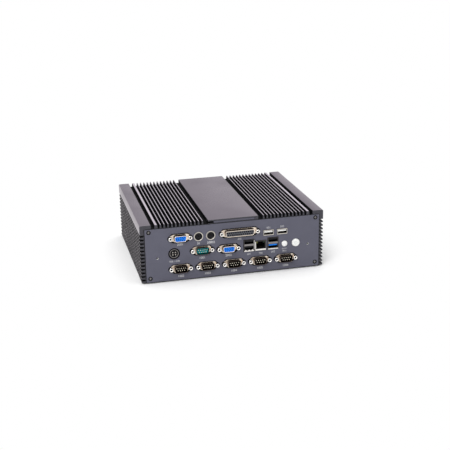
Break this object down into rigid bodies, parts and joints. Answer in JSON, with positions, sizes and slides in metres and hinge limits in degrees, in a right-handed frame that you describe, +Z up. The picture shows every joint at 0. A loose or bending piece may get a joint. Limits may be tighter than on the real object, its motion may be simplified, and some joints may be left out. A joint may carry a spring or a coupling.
{
  "type": "pos terminal",
  "caption": "Fanless box computer of a pos terminal: finned aluminium housing with an end panel of video, serial, parallel, network and USB ports, power inlet and push buttons.",
  "frame": {"origin": "on the floor under the middle of the box, at the underside of the feet", "axes": "+X to the right along the connector panel, +Y from that panel to the rear, +Z up"},
  "size_m": [0.239, 0.2046, 0.077],
  "materials": {
    "housing": "satin anodised, dark grey",
    "panel": "matte blue-grey paint",
    "strip": "matte blue-grey paint",
    "screws": "black zinc",
    "feet": "matte black",
    "shells": "bright nickel plate",
    "nuts": "bright plated",
    "video_blue": "bright blue",
    "serial_teal": "teal",
    "black_plastic": "black moulding",
    "contacts": "gold plated",
    "white_plastic": "white moulding",
    "blue_tongue": "blue",
    "lamps": "yellow green",
    "boards": "green lacquer",
    "board_screws": "zinc plate",
    "heat_block": "milled",
    "drive": "grey"
  },
  "bodies": {
    "chassis": {"board_screws": "board_screws", "board_standoffs": "contacts", "bottom_cover": "panel", "finned_housing": "housing", "heat_block": "heat_block", "io_panel": "panel", "jack_nuts": "nuts", "keyboard_port_core": "black_plastic", "keyboard_port_ring": "shells", "lan_port_insert": "black_plastic", "lan_port_lamps": "lamps", "lan_port_shield": "shells", "main_board": "boards", "memory_chips": "black_plastic", "mouse_port_core": "black_plastic", "mouse_port_ring": "shells", "panel_screws": "screws", "parallel_port_insert": "black_plastic", "parallel_port_shell": "shells", "power_inlet_body": "black_plastic", "power_inlet_ring": "shells", "power_switch": "black_plastic", "processor": "black_plastic", "rear_panel": "panel", "reset_switch": "black_plastic", "rubber_feet": "feet", "serial_board": "boards", "serial_pins": "contacts", "serial_port_1_insert": "serial_teal", "serial_port_1_shell": "shells", "serial_port_2_insert": "black_plastic", "serial_port_2_shell": "shells", "serial_port_3_insert": "black_plastic", "serial_port_3_shell": "shells", "serial_port_4_insert": "black_plastic", "serial_port_4_shell": "shells", "serial_port_5_insert": "black_plastic", "serial_port_5_shell": "shells", "serial_port_6_insert": "black_plastic", "serial_port_6_shell": "shells", "slot_strip": "strip", "solid_state_drive": "drive", "upper_io_board": "boards", "usb_port_1_shell": "shells", "usb_port_1_tongue": "white_plastic", "usb_port_2_shell": "shells", "usb_port_2_tongue": "white_plastic", "usb_stack_left_shell": "shells", "usb_stack_left_tongues": "black_plastic", "usb_stack_right_lower_tongue": "blue_tongue", "usb_stack_right_shell": "shells", "usb_stack_right_upper_tongue": "black_plastic", "vga_port_1_insert": "video_blue", "vga_port_1_shell": "shells", "vga_port_2_insert": "video_blue", "vga_port_2_shell": "shells"},
    "power_button": {"power_button": "white_plastic"},
    "reset_button": {"reset_button": "white_plastic"}
  },
  "joints": [
    {"name": "power_press", "type": "slide", "parent": "chassis", "child": "power_button", "axis": [0, 1, 0], "range_m": [0, 0.0015], "stiffness_N_per_m": 800},
    {"name": "reset_press", "type": "slide", "parent": "chassis", "child": "reset_button", "axis": [0, 1, 0], "range_m": [0, 0.001], "stiffness_N_per_m": 800}
  ]
}
